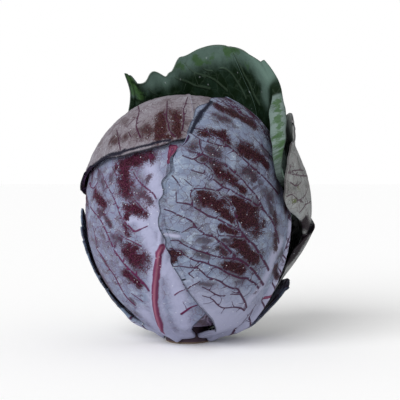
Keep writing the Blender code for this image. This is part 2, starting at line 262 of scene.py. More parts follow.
def rib_height(leaf, gx, v):
    """How far the midrib and the fleshy foot stand out of the blade."""
    flesh = leaf["flesh"] * smoothstep(FLESH_END, 0.0, v) * max(0.0, 1 - gx * gx) ** 0.5
    across = min(1.0, abs(gx) * leaf["columns"] / 2)
    rib = (leaf["rib_height"] * (1 - v) ** 1.6 + 0.25) * (1 - across**2) ** 1.5
    return math.hypot(rib, flesh)


def lay_out(leaf, columns, rows):
    """The points of a leaf's grid: flat place, distance from the midrib, way, radius and rib height."""
    rails = full_rails(leaf)
    found = []
    for row in range(rows + 1):
        v = row / rows
        mid = rail_point(rails[1], v ** leaf["lag"])
        ends = [rail_point(rails[side], v ** (1 / leaf["lag"])) for side in (0, 2)]
        for column in range(columns + 1):
            gx = 2 * column / columns - 1
            x, y, way, radius = leaf_point(leaf, mid, ends[gx >= 0], gx, v)
            found.append((x, y, x - mid[0], *way, radius, rib_height(leaf, gx, v)))
    found = np.array(found)
    radii = found[:, 6].reshape(rows + 1, columns + 1)
    flat, rib, way, height = found[:, :2], found[:, 2], found[:, 3:6], found[:, 7]
    return {"flat": flat, "rib": rib, "way": way, "radius": radii, "height": height}


def resting_radius(way, spread, trees):
    """The radius at which a blade clears every solid already laid near this way from the centre."""
    aside = way.orthogonal().normalized() * spread * smoothstep(0.0, 0.7, polar_of(way))
    ways = [way]
    for turn in range(FEELERS):
        offset = aside * (1.0 if turn % 2 else 0.5)
        offset.rotate(Quaternion(way, math.tau * turn / FEELERS))
        ways.append((way + offset).normalized())
    best = 0.0
    for ray in ways:
        for tree in trees:
            distance = tree.ray_cast(CENTRE + ray * FAR, -ray)[3]
            if distance is not None:
                best = max(best, FAR - distance)
    return best + CLEARANCE


def around(values):
    """The sum of the four neighbours of each value of a grid, fewer at its rim."""
    wide = np.pad(values, 1)
    return wide[:-2, 1:-1] + wide[2:, 1:-1] + wide[1:-1, :-2] + wide[1:-1, 2:]


def eased(radii):
    """The radii of a grid, raised where needed so that the blade bends softly over what it lies on."""
    for _ in range(EASING):
        radii = np.maximum(radii, around(radii) / around(np.ones_like(radii)))
    return radii


def stretched(values, rows, columns):
    """A coarse grid of values read at each point of a finer one, by straight lines and then softened."""
    old_rows, old_columns = values.shape
    at_row = np.linspace(0, old_rows - 1, rows + 1)
    at_column = np.linspace(0, old_columns - 1, columns + 1)
    tall = np.array([np.interp(at_row, range(old_rows), values[:, k]) for k in range(old_columns)]).T
    full = np.array([np.interp(at_column, range(old_columns), line) for line in tall])
    for _ in range(int(2 * (rows / old_rows) ** 2 / 3)):
        full[1:-1] = (full[:-2] + 2 * full[1:-1] + full[2:]) / 4
        full[:, 1:-1] = (full[:, :-2] + 2 * full[:, 1:-1] + full[:, 2:]) / 4
    return full


def solid_tree(node):
    """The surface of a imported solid, for rays, in millimetres."""
    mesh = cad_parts[node].data
    points = [vertex.co / MM for vertex in mesh.vertices]
    return BVHTree.FromPolygons(points, [list(face.vertices) for face in mesh.polygons])


def seen_ray(across, up):
    """The ray from the eye through the point (across, up) of the front view."""
    axis = Vector((0, math.cos(EYE_RISE), -math.sin(EYE_RISE)))
    lift = Vector((0, math.sin(EYE_RISE), math.cos(EYE_RISE)))
    eye = LOOK_AT - axis * EYE_DISTANCE
    through = LOOK_AT + Vector((across - LOOK_AT.x, 0, 0)) + lift * (up - LOOK_AT.z)
    return eye, (through - eye).normalized()


class Sheet:
    """A leaf's blade, laid out finely: what its veins and paint are looked up on."""

    def __init__(self, leaf, under):
        columns, rows = (count for count in leaf["fine"])
        coarse = lay_out(leaf, leaf["columns"], leaf["rows"])
        resting = [
            max(radius, resting_radius(Vector(way), leaf["spread"], under))
            for radius, way in zip(coarse["radius"].ravel(), coarse["way"])
        ]
        lifts = eased(np.array(resting).reshape(coarse["radius"].shape)) - coarse["radius"]
        fine = lay_out(leaf, columns, rows)
        radii = (fine["radius"] + stretched(lifts, rows, columns)).ravel()
        self.leaf = leaf
        self.heart = under[0]
        self.columns = columns
        self.rows = rows
        self.flat = fine["flat"]
        self.rib = fine["rib"]
        self.height = fine["height"]
        self.place = fine["way"] * radii[:, None] + np.array(CENTRE)
        grid = np.arange(len(radii)).reshape(rows + 1, columns + 1)
        turn = (grid[:-1, :-1], grid[:-1, 1:], grid[1:, 1:], grid[1:, :-1])
        self.corners = np.stack(turn, axis=-1).reshape(-1, 4).tolist()
        self.cell = 0.8 * float(np.median(np.linalg.norm(self.flat[1:] - self.flat[:-1], axis=1)))
        self.tree = BVHTree.FromPolygons([Vector(p) for p in self.place], self.corners)
        self.flat_tree = self.tree_of([(x, y, 0) for x, y in self.flat])
        rim = [i for i in (*grid[:, 0], *grid[:, -1], *grid[-1]) if self.flat[i][1] > leaf["foot_length"]]
        rim_tree = self.tree_of([self.place[i] for i in rim])
        self.margin = np.array([rim_tree.find(p)[2] for p in self.place])

    @staticmethod
    def tree_of(points):
        tree = kdtree.KDTree(len(points))
        for index, point in enumerate(points):
            tree.insert(point, index)
        tree.balance()
        return tree

    def drawn(self, points):
        """The flat places of points drawn in the front view, but for those that miss the near side."""
        found = []
        for across, up in points:
            ray = seen_ray(across, up)
            hit, _, face, distance = self.tree.ray_cast(*ray)
            blocked = self.heart.ray_cast(*ray)[3]
            if hit is None or (blocked is not None and blocked < distance):
                continue
            weights = [1 / (0.01 + math.dist(hit, self.place[i]) ** 2) for i in self.corners[face]]
            spots = [self.flat[i] * w for i, w in zip(self.corners[face], weights)]
            found.append(tuple(sum(spots) / sum(weights)))
        return found

    def inside(self, x, y):
        """Whether a flat place is on the blade."""
        return self.flat_tree.find((x, y, 0))[2] < ON_BLADE

    def hidden(self, x, y):
        """Whether a flat place is on the sides or the back of the head, where nothing is drawn."""
        return y < self.leaf["grown_below"] and wrapped(self.leaf, x, y).y > self.leaf["grown_from"]


def grown_veins(sheet):
    """Side ribs that leave the midrib of the leaf on both sides, bend to its tip and fork."""
    leaf = sheet.leaf
    rng = random.Random(leaf["seed"])
    rib = [point[:2] for point in full_rails(leaf)[1]]
    length = length_of(rib)
    veins = []
    for side in (-1, 1):
        at = rng.uniform(*FIRST_RIB)
        while at < length * LAST_RIB:
            start = rail_point(rib, at / length)
            heading = math.radians(90 - side * rng.uniform(*RIB_ANGLE))
            todo = [(start.x, start.y, heading, leaf["side_vein"] * (1 - 0.4 * at / length), 0)]
            while todo:
                x, y, heading, width, forks = todo.pop()
                line = [(x, y)]
                reach = rng.uniform(*FORK_AFTER)
                while sheet.inside(x, y) and len(line) < LONGEST_RUN:
                    heading += side * 0.018 + rng.uniform(-0.07, 0.07)
                    x, y = x + STRIDE * math.cos(heading), y + STRIDE * math.sin(heading)
                    line.append((x, y))
                    if forks < 2 and STRIDE * len(line) > reach:
                        bend = rng.uniform(*FORK_OPENS)
                        todo.append((x, y, heading + bend, width * FORK_WIDTH, forks + 1))
                        todo.append((x, y, heading - bend, width * FORK_WIDTH, forks + 1))
                        break
                kept = [point for point in line if sheet.hidden(*point)]
                if len(kept) > 2:
                    veins.append((width, kept))
            at += rng.uniform(*NEXT_RIB)
    return veins


def twigs(sheet, veins):
    """Short thin veins that leave the side ribs and close the leaf's net."""
    rng = random.Random(sheet.leaf["seed"] + 1)
    small = []
    for width, line in veins:
        side = 1
        length = length_of(line)
        for k in range(1, int(length / TWIG_SPACING)):
            here = rail_point(line, k * TWIG_SPACING / length)
            there = rail_point(line, min(1.0, (k * TWIG_SPACING + 1) / length))
            heading = math.atan2(there.y - here.y, there.x - here.x) + side * rng.uniform(0.9, 1.35)
            points = [(here.x, here.y)]
            for _ in range(rng.randint(2, 4)):
                heading += rng.uniform(-0.45, 0.45)
                x = points[-1][0] + TWIG_LENGTH / 3 * math.cos(heading)
                y = points[-1][1] + TWIG_LENGTH / 3 * math.sin(heading)
                points.append((x, y))
            small.append((min(0.3, width * 0.55), points))
            side = -side
    return small


def vein_field(sheet, veins):
    """For each vertex, the way and distance to the nearest vein in its widths, and the distance in mm."""
    samples = []
    for width, line in veins:
        length = length_of(line)
        count = max(2, int(length / VEIN_STEP))
        spots = [rail_point(line, k / count) for k in range(count + 1)]
        for k, spot in enumerate(spots):
            along = (spots[min(count, k + 1)] - spots[max(0, k - 1)]).normalized()
            samples.append((spot, along, width * (1 - VEIN_TAPER * k / count)))
    tree = Sheet.tree_of([(spot.x, spot.y, 0) for spot, _, _ in samples])
    field = np.empty((len(sheet.flat), 3))
    reach = np.empty(len(sheet.flat))
    for index, (x, y) in enumerate(sheet.flat):
        _, found, distance = tree.find((x, y, 0))
        spot, along, width = samples[found]
        off = Vector((x, y)) - spot
        past = off.dot(along)
        if abs(past) < VEIN_STEP:
            off -= along * past
        field[index] = (off.x / width, off.y / width, (distance - sheet.cell) / width)
        reach[index] = distance
    return field, reach


def line_distance(points, line):
    """How far each point is from a line of flat places."""
    best = np.full(len(points), 1e9)
    for a, b in zip(line, line[1:] or line):
        start, along = np.array(a), np.array(b) - np.array(a)
        t = np.clip(((points - start) @ along) / max(along @ along, 1e-9), 0, 1)
        best = np.minimum(best, np.linalg.norm(points - start - t[:, None] * along, axis=1))
    return best


def brushed(sheet, strokes):
    """A soft field that is a half at the edge of each stroke, and the strength of the nearest stroke."""
    field = np.zeros(len(sheet.flat))
    strength = np.full(len(sheet.flat), 0.5)
    for force, half_width, line in strokes:
        if line:
            close = np.clip(1 - line_distance(sheet.flat, line) / (2 * half_width), 0, 1)
            nearer = close > field
            field[nearer] = close[nearer]
            strength[nearer] = force
    return field, strength


def grown_patches(sheet):
    """Rubbed patches for the sides of the leaf that aren't drawn."""
    rng = random.Random(sheet.leaf["seed"] + 2)
    strokes = []
    for _ in range(sheet.leaf["grown_patches"]):
        x, y = sheet.flat[rng.randrange(len(sheet.flat))]
        slant = math.radians(90 - math.copysign(rng.uniform(30, 50), x))
        reach = rng.uniform(3, 11)
        ends = [(x + k * reach * math.cos(slant), y + k * reach * math.sin(slant)) for k in (-1, 0, 1)]
        force = rng.uniform(0.5, 1.0)
        half_width = rng.uniform(2.2, 4.6)
        if sheet.hidden(x, y) and y > 60:
            strokes.append((force, half_width, ends))
    return strokes


def set_attribute(mesh, name, kind, values):
    field = "vector" if kind == "FLOAT_VECTOR" else "color"
    made = mesh.attributes.new(name, kind, "POINT")
    made.data.foreach_set(field, np.ascontiguousarray(values, dtype=np.float32).ravel())


def make_leaf(leaf, under):
    """One finished leaf: laid out, veined, painted, thickened, and its two faces given their skins."""
    sheet = Sheet(leaf, under)
    main = [(VEIN_SCALE * width, sheet.drawn(points)) for width, points in leaf["veins"]]
    main = [(width, line) for width, line in main if len(line) > 1]
    ribs = main + grown_veins(sheet)
    field, reach = vein_field(sheet, ribs + twigs(sheet, ribs))
    strokes = {
        kind: [(force, wide, sheet.drawn(points)) for force, wide, points in leaf[kind]]
        for kind in ("patches", *STROKES)
    }
    patch, strength = brushed(sheet, strokes["patches"] + grown_patches(sheet))
    pale, flush, green, dark = (brushed(sheet, strokes[kind])[0] for kind in STROKES)
    foot = np.clip((leaf["pale_foot"] - sheet.flat[:, 1]) / leaf["pale_foot"] + 0.5, 0, 1)
    flange_width = leaf["flange"] * np.clip(1.15 - sheet.flat[:, 1] / leaf["flange_end"], 0.001, 1)
    flange = np.clip(1 - np.abs(sheet.rib) / (2 * flange_width), 0, 1)
    pale = np.maximum(pale, np.maximum(foot, flange))

    bpy.ops.mesh.primitive_grid_add(x_subdivisions=sheet.columns, y_subdivisions=sheet.rows, size=2)
    obj = bpy.context.object
    mesh = obj.data
    obj.name = mesh.name = leaf["name"] + "_leaf"
    square = np.empty(len(mesh.vertices) * 3)
    mesh.vertices.foreach_get("co", square)
    square = square.reshape(-1, 3)
    column = np.rint((square[:, 0] + 1) / 2 * sheet.columns).astype(int)
    row = np.rint((square[:, 1] + 1) / 2 * sheet.rows).astype(int)
    order = row * (sheet.columns + 1) + column
    mesh.vertices.foreach_set("co", (sheet.place[order] * MM).ravel())
    depth = np.full(len(order), leaf["seed"] * 40)
    set_attribute(mesh, "flat", "FLOAT_VECTOR", np.column_stack([sheet.flat[order], depth]))
    set_attribute(mesh, "vein", "FLOAT_VECTOR", field[order])
    paint = np.column_stack([patch, strength, pale, np.clip(sheet.margin / MARGIN_SPAN, 0, 1)])[order]
    tint = np.column_stack([flush, green, dark, np.clip(sheet.flat[:, 1] / LENGTH_SPAN, 0, 1)])[order]
    set_attribute(mesh, "paint", "FLOAT_COLOR", paint)
    set_attribute(mesh, "tint", "FLOAT_COLOR", tint)

    thickness = obj.vertex_groups.new(name="thickness")
    ridge = RIDGE_HEIGHT * np.exp(-((reach / RIDGE_WIDTH) ** 2))
    thick = (BLADE + sheet.height + ridge)[order] / SOLIDIFY_REACH
    for index, weight in enumerate(thick):
        thickness.add([index], float(weight), "REPLACE")
    shell = obj.modifiers.new("Blade thickness", "SOLIDIFY")
    shell.thickness = SOLIDIFY_REACH * MM
    shell.offset = 1
    shell.vertex_group = thickness.name
    bpy.ops.object.modifier_apply(modifier=shell.name)
    give_skins(obj, len(order), leaf)
    mesh.shade_smooth()
    seat(obj, leaf["name"])
    return obj


def give_skins(obj, half, leaf):
    """The outer skin goes on every face with a vertex of the first half, which thickening moved out."""
    mesh = obj.data
    mesh.materials.append(SKINS[leaf["inner"]])
    mesh.materials.append(SKINS[leaf["outer"]])
    corners = np.empty(len(mesh.loops), dtype=np.int32)
    mesh.loops.foreach_get("vertex_index", corners)
    outer = (corners.reshape(-1, 4) < half).any(axis=1)
    mesh.polygons.foreach_set("material_index", outer.astype(np.int32))


def seat(obj, node):
    """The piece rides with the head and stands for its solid."""
    obj.select_set(False)
    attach(obj, "root")
    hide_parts(node)


def shaped_ball(name, segments, rings, place, skin):
    """A ball, each vertex of which is moved to the place that its way from the middle gives."""
    bpy.ops.mesh.primitive_uv_sphere_add(segments=segments, ring_count=rings, radius=1)
    obj = bpy.context.object
    obj.name = obj.data.name = name
    for vertex in obj.data.vertices:
        vertex.co = place(vertex.co.normalized()) * MM
    obj.data.materials.append(SKINS[skin])
    obj.data.shade_smooth()
    return obj


def heart_place(way):
    """The tight inner head, whose surface steps down at each folded leaf's margin."""
    turn = math.atan2(way.x, -way.y) / (2 * math.pi) + HEART_TWIST * polar_of(way) / (2 * math.pi)
    fold = (turn * HEART_FOLDS) % 1.0
    step = HEART_STEP * (1 - fold) * math.sin(polar_of(way))
    wrinkle = HEART_WRINKLE * noise.noise(way * 9)
    point = way * (heart_radius(way) - step - HEART_WRINKLE + wrinkle) + CENTRE
    point.z = max(point.z, HEART_FLOOR)
    return point


def stump_place(way):
    """The stalk, cut square: a round plug whose cut face is a little uneven."""
    up = math.asin(max(-1.0, min(1.0, way.z))) / (math.pi / 2)
    bend = math.atan2(way.y, way.x)
    if abs(up) < STUMP_SIDE:
        radius = STUMP_RADIUS - (STUMP_RADIUS - STUMP_WAIST) * smoothstep(-0.2, 0.4, up)
        height = STUMP_HEIGHT / 2 + up / STUMP_SIDE * (STUMP_HEIGHT / 2 - STUMP_BEVEL)
    else:
        edge = STUMP_RADIUS if up < 0 else STUMP_WAIST
        share = (1 - abs(up)) / (1 - STUMP_SIDE)
        radius = edge * min(1.0, share * 1.02) - (STUMP_BEVEL if share > 0.98 else 0.0)
        height = 0.0 if up < 0 else STUMP_HEIGHT
    groove = 0.35 * noise.noise(Vector((3 * math.cos(bend), 3 * math.sin(bend), height / 9)))
    radius = max(0.0, radius - (0.35 + groove) * smoothstep(10, 14, radius))
    return Vector((radius * math.cos(bend), radius * math.sin(bend), height))


def colour(code):
    """An sRGB hex colour as the linear colour that a shader takes."""
    parts = [int(code[i : i + 2], 16) / 255 for i in (1, 3, 5)]
    return (*[c / 12.92 if c <= 0.04045 else ((c + 0.055) / 1.055) ** 2.4 for c in parts], 1.0)


def new_skin(name):
    """A new material, its nodes and its shader."""
    skin = bpy.data.materials.new(name)
    skin.use_nodes = True
    return skin, skin.node_tree, skin.node_tree.nodes["Principled BSDF"]


def add(tree, kind, inputs, out=0, **settings):
    """Adds a node with its settings, fills or links its inputs, and gives the output that is asked for."""
    made = tree.nodes.new("ShaderNode" + kind)
    for name, value in settings.items():
        setattr(made, name, value)
    for key, value in inputs.items():
        if isinstance(value, bpy.types.NodeSocket):
            tree.links.new(value, made.inputs[key])
        else:
            made.inputs[key].default_value = colour(value) if isinstance(value, str) else value
    return made.outputs[out]


def mask(tree, start, parts, low, high, least=0.0, most=1.0):
    """How far a field, with shares of other fields added to it, has passed softly from low to high."""
    for field, share in parts:
        start = add(tree, "Math", {0: field, 1: share, 2: start}, operation="MULTIPLY_ADD")
    limits = {"From Min": low, "From Max": high, "To Min": least, "To Max": most}
    return add(tree, "MapRange", {"Value": start, **limits}, interpolation_type="SMOOTHSTEP")


def leaf_skin(name, look):
    """A leaf's face: a dusty wax bloom, rubbed off in patches, over a coloured skin with veins, with
    painted shade in gaps and hollows and painted highlights on dew.
    """
    skin, tree, shader = new_skin(name)
    flat, vein, paint, tint = (
        add(tree, "Attribute", {}, out=out, attribute_name=kind)
        for kind, out in (("flat", "Vector"), ("vein", "Vector"), ("paint", "Color"), ("tint", "Color"))
    )
    patch, strength, pale = add(tree, "SeparateColor", {0: paint}).node.outputs[:3]
    flush, green, dark = add(tree, "SeparateColor", {0: tint}).node.outputs[:3]
    margin = add(tree, "Math", {0: paint.node.outputs["Alpha"], 1: MARGIN_SPAN}, operation="MULTIPLY")
    length = add(tree, "Math", {0: tint.node.outputs["Alpha"], 1: LENGTH_SPAN}, operation="MULTIPLY")

    # Clouds of about 24 and 6 mm, and a grain of 0.9 mm.
    broad, cloud, grain = (
        add(tree, "TexNoise", {"Vector": flat, "Scale": 1 / size, "Detail": detail, "Roughness": rough})
        for size, detail, rough in ((24, 3.0, 0.55), (6, 4.0, 0.6), (0.9, 4.0, 0.8))
    )

    # The distance to the nearest vein, in widths of it: true across the vein, and never small between two.
    aside = add(tree, "VectorMath", {0: vein, 1: (1.0, 1.0, 0.0)}, operation="MULTIPLY")
    aside = add(tree, "VectorMath", {0: aside}, out="Value", operation="LENGTH")
    far = add(tree, "SeparateXYZ", {0: vein}, out=2)
    reach = add(tree, "Math", {0: aside, 1: far}, operation="MAXIMUM")
    wobble = add(tree, "Math", {0: grain, 1: 0.5, 2: -0.25}, operation="MULTIPLY_ADD")
    reach = add(tree, "Math", {0: reach, 1: wobble}, operation="ADD")
    in_vein = mask(tree, reach, (), 0.45, 1.35, 1.0, 0.0)
    beside = mask(tree, reach, (), 1.5, 4.5, 1.0, 0.0)

    # The small net between the veins, cells of about 6.5 mm, drawn a little bent.
    bend = add(tree, "TexNoise", {"Vector": flat, "Scale": 1 / 5, "Detail": 1.0}, out="Color")
    bent = add(tree, "VectorMath", {0: bend, 1: (5.0, 5.0, 0.0), 2: flat}, operation="MULTIPLY_ADD")
    cells = {"Vector": bent, "Scale": 1 / 6.5}
    net = add(tree, "TexVoronoi", cells, out="Distance", feature="DISTANCE_TO_EDGE")
    in_net = mask(tree, net, (), 0.0, 0.055, look["net"], 0.0)
    cell = add(tree, "TexVoronoi", cells, out="Color", feature="F1")
    cell = add(tree, "SeparateColor", {0: cell})

    # The bloom lies in clouds. It is bare and pale by the foot, and flushed along the midrib.
    dusty = mask(tree, cloud, (), 0.42, 0.72, 0.0, look["dust"])
    bare = mask(tree, pale, [(cloud, 0.5)], 0.5, 1.15)
    kept = add(tree, "Math", {0: 1.0, 1: bare}, operation="SUBTRACT")
    flushed = mask(tree, flush, [(cloud, 0.5)], 0.62, 0.85, 0.0, 0.92)
    core = add(tree, "MapRange", {"Value": flush, "From Min": 0.72, "From Max": 1.0})

    # Where the bloom is rubbed off, up to a pale line along each vein, and where it is only worn thin. Some
    # drawn patches stand for painted shade instead.
    ragged = (cloud, 0.8), (grain, 1.9), (cell, 0.34), (beside, -0.3), (strength, 0.8)
    rubbed_and_shade = mask(tree, patch, ragged, 2.5, 2.9)
    opaque = add(tree, "MapRange", {"Value": strength, "To Min": 0.55})
    rubbed_and_shade = add(tree, "Math", {0: rubbed_and_shade, 1: opaque}, operation="MULTIPLY")
    uneven = (cell, 0.26), (grain, 1.2), (patch, 0.5), (broad, 0.9)
    worn = mask(tree, cloud, uneven, 1.6, 2.1, 0.0, look["worn"])
    worn = add(tree, "Math", {0: worn, 1: kept}, operation="MULTIPLY")
    rubbed_and_shade = add(tree, "Math", {0: rubbed_and_shade, 1: worn}, operation="MAXIMUM")
    speck = mask(tree, grain, (), 0.46, 0.68)
    reds, under = (
        add(tree, "Mix", {0: share, 6: first, 7: second}, out=2, data_type="RGBA")
        for share, (first, second) in ((core, look["flush"]), (speck, look["skin"]))
    )

    # Green mottling, the veins and their net, dark folds and margins, and painted shade in gaps, hollows
    # and towards a leaf's foot.
    mottled = (green, 0.6), (cloud, 1.4), (grain, 0.5)
    greened = mask(tree, 0.0, mottled, look["mottle"], look["mottle"] + 0.24, 0.0, 0.8)
    marks = add(tree, "Math", {0: in_vein, 1: look["vein_force"]}, operation="MULTIPLY")
    fine = add(tree, "Math", {0: in_net, 1: kept}, operation="MULTIPLY")
    marks = add(tree, "Math", {0: marks, 1: fine}, operation="MAXIMUM")
    # The dark strokes: dark margins and folds, and painted shade in the gap by the stump and in the hollow.
    darkened = mask(tree, dark, [(cloud, 0.4), (grain, 0.9)], 1.03, 1.42, 0.0, 0.96)
    rim = mask(tree, margin, [(grain, 1.4)], look["rim"], look["rim"] + 1.2, 0.8, 0.0)
    # Darker towards the leaf's foot: partly the leaf's own deeper colour, and partly painted shade of the
    # head.
    deep_and_shade = mask(tree, length, (), look["dark_to"] - 60, look["dark_to"], 0.9, 0.0)

    # Fine drops of dew, about a millimetre wide and a few millimetres apart, smoother, and painted near
    # white as a highlight.
    drops = add(tree, "TexVoronoi", {"Vector": flat, "Scale": 1 / 2.6}, out="Distance", feature="F1")
    chosen = add(tree, "SeparateColor", {0: drops.node.outputs["Color"]})
    chosen = add(tree, "Math", {0: chosen, 1: 0.85}, operation="GREATER_THAN")
    round_drop = {"Value": drops, "From Min": 0.12, "From Max": 0.2, "To Min": 1.0, "To Max": 0.0}
    dew_glint = add(tree, "MapRange", round_drop)
    dew_glint = add(tree, "Math", {0: dew_glint, 1: chosen}, operation="MULTIPLY")
    glint = add(tree, "Math", {0: dew_glint, 1: look["dew_glint"]}, operation="MULTIPLY")

    # The colours from the lowest layer up. The dark and depth layers are in part painted shade, and the
    # last is a painted highlight on the dew.
    base = look["bloom"][0]
    for share, over in (
        (broad, look["bloom"][1]), (dusty, look["bloom"][2]), (bare, look["pale"]), (flushed, reds),
        (rubbed_and_shade, under), (greened, look["green"]), (marks, look["vein"]), (darkened, look["edge"]),
        (rim, look["edge"]), (deep_and_shade, look["deep_and_shade"]), (glint, "#d3d8e0"),
    ):
        base = add(tree, "Mix", {0: share, 6: base, 7: over}, out=2, data_type="RGBA")
    gloss = add(tree, "MapRange", {"Value": rubbed_and_shade, "To Min": look["dull"], "To Max": look["shine"]})
    for field, share in ((grain, 0.18), (dew_glint, -0.3)):
        gloss = add(tree, "Math", {0: field, 1: share, 2: gloss}, operation="MULTIPLY_ADD")
    relief = 0.0
    for field, share in ((in_vein, 0.9), (grain, 0.28), (cloud, 0.6), (net, 0.8)):
        relief = add(tree, "Math", {0: field, 1: share, 2: relief}, operation="MULTIPLY_ADD")
    bump = add(tree, "Bump", {"Height": relief, "Strength": 0.7, "Distance": 0.0011})
    tree.links.new(base, shader.inputs["Base Color"])
    tree.links.new(gloss, shader.inputs["Roughness"])
    tree.links.new(bump, shader.inputs["Normal"])
    shader.inputs["Specular IOR Level"].default_value = 0.03
    return skin


STROKES = ("pale", "flush", "green", "dark")

LEAF = dict(
    columns=16, rows=18, fine=(150, 170), lag=1.15, centre=132, foot=38, ring=0, rib_width=5.5,
    rib_height=5, flesh=3, turned=2,
    crest=[(-1, 0, 0), (1, 0, 0)],
    crest_from=0.9, tear=0, tear_size=14, wave=0, wave_size=26, least=0, spread=0.06, seed=1.0,
    slot="wrapper_leaf", outer="bloomed", inner="plum", side_vein=0.75, grown_from=-0.3, grown_below=400,
    grown_patches=90, foot_length=30, pale_foot=34, flange=11, flange_end=150, veins=[], patches=[],
    pale=[], flush=[], green=[], dark=[],
)

# A point of left, rib or right is its (x, y) on the flat leaf and, where it isn't 0, how far it stands off.
# A margin's point may also say how far its last columns turn back, out and along. A point of the crest is
# (share of the width, how far the top margin moves along, how far out).
#
# The rest is what the front view shows, as points (across, up) looked up on the leaf. Veins are (half
# width, points). Patches, where the bloom is rubbed off, are (across, up, half length, half width, tilt in
# degrees, strength); a few of them are painted shade. The pale, flushed, green and dark strokes are (half
# width, points); the dark ones are dark margins and folds, and painted shade in gaps and hollows.
FRONT_LEFT = dict(
    name="wrapper_leaf_front_left", outer="crimson left", azimuth=-20, foot_azimuth=-24, layer=1, foot=42,
    rib_height=4.6, seed=3.0,
    left=[(-27, 36), (-62, 62), (-100, 98), (-116, 140), (-96, 182), (-62, 208)],
    rib=[(-7, 31), (-5, 59), (0, 89), (7, 115), (10, 180), (8, 216)],
    right=[(19, 34), (40, 52), (66, 84), (76, 130), (66, 176), (38, 206)],
    veins=[(0.7, [(-34.5, 84.5), (-39.5, 82.5), (-42, 85.5), (-45.5, 88.5), (-48, 91.5), (-50, 95),
        (-52.5, 102), (-55.5, 109.5), (-59.5, 116.5), (-63, 125)]), (0.5, [(-29.5, 86.5), (-34.5, 84.5)]),
        (0.55, [(-34, 71.5), (-37, 73), (-41, 75), (-46.5, 77.5), (-50, 80)]), (0.95, [(-29, 39),
        (-31.5, 43), (-35.5, 47), (-39.5, 51), (-44.5, 56), (-48, 60), (-51.5, 64.5), (-54, 68.5),
        (-57, 75), (-59.5, 81), (-61.5, 85.5), (-64.5, 91), (-67.5, 95), (-72, 101), (-76, 107)]), (0.8,
        [(-39, 28), (-44.5, 33), (-49, 40), (-52.5, 47), (-56, 52.5), (-60.5, 59), (-63.5, 64.5),
        (-67, 70), (-68, 78), (-70.5, 87)]), (0.5, [(-33.5, 31), (-38.5, 34.5), (-42, 37)]), (0.6,
        [(-23.5, 107), (-26, 111), (-31, 115), (-36.5, 120), (-40, 126)]), (0.5, [(-32.5, 98),
        (-37, 103.5), (-40.5, 107)]), (0.45, [(-52.5, 124), (-55.5, 130)]), (0.5, [(-66.5, 119),
        (-70, 114.5), (-73, 118)]), (0.9, [(-5, 21.5), (-1.5, 24), (2, 26.5), (6.5, 28)]), (0.5,
        [(-10, 35.5), (-6.5, 38), (-3, 39.5)]), (0.5, [(-0.5, 38.5), (-1.5, 41.5), (-3.5, 43.5)])],
    patches=[(-47, 122, 15, 6.5, -80, 1), (-36, 136.5, 12, 4.5, 10, 1), (-65, 106.5, 9, 4, -50, 1),
        (-31, 107.5, 8, 6, -45, 0.8), (-39.5, 99, 10, 4.5, -15, 1), (-45.5, 94, 3.5, 3, 0, 1),
        (-45, 84, 6, 3, -80, 1), (-41, 65, 13, 8, -50, 1), (-40.5, 47.5, 10, 4.5, -40, 1),
        (-48, 74, 7, 3, -60, 0.8), (-29, 122, 6, 3, 60, 0.7), (-60, 92, 9, 3, -60, 0.8),
        (-57.5, 122, 4.5, 2.5, 80, 0.55), (-62.5, 115, 7, 2, -80, 0.5), (-65.5, 96.5, 4, 2, -75, 0.7),
        (-34.5, 35, 2.5, 1.5, 0, 0.5), (-41, 31, 3.5, 2, -45, 0.7), (-62, 61.5, 5, 1.8, -60, 0.8),
        (-54.5, 76, 6, 2, -70, 0.5)],
    pale=[(9, [(-4, 14), (-6, 24), (-7, 34), (-9, 44), (-13, 56)]), (5, [(-18, 52), (-19, 64), (-18, 76)]),
        (8, [(-27, 128), (-25, 120), (-22, 112)]), (7, [(-29, 108), (-26, 98), (-24, 88)]), (8, [(-34, 90),
        (-29, 80), (-25, 68)]), (4, [(-36, 92), (-44, 91)]), (8, [(-32, 22), (-24, 14), (-16, 8)])],
    flush=[(2.8, [(-18, 10), (-20.5, 17), (-23, 24.5), (-24, 33), (-24, 41.5), (-23, 50.5), (-22, 59),
        (-21.5, 66.5), (-19, 71)]), (1.8, [(-12.5, 145.5), (-9, 145)]), (1.4, [(-9, 144.5), (-12, 139),
        (-14.5, 134)]), (1.4, [(-13, 144), (-14, 138)]), (0.7, [(-5, 21.5), (-1.5, 24), (2, 26.5)])],
    # The dark strokes are painted shade in the gap between the leaves' feet by the stump.
    dark=[(3.0, [(18.5, 12), (18, 3)]), (1.5, [(14, 3), (5, 0)])],
)

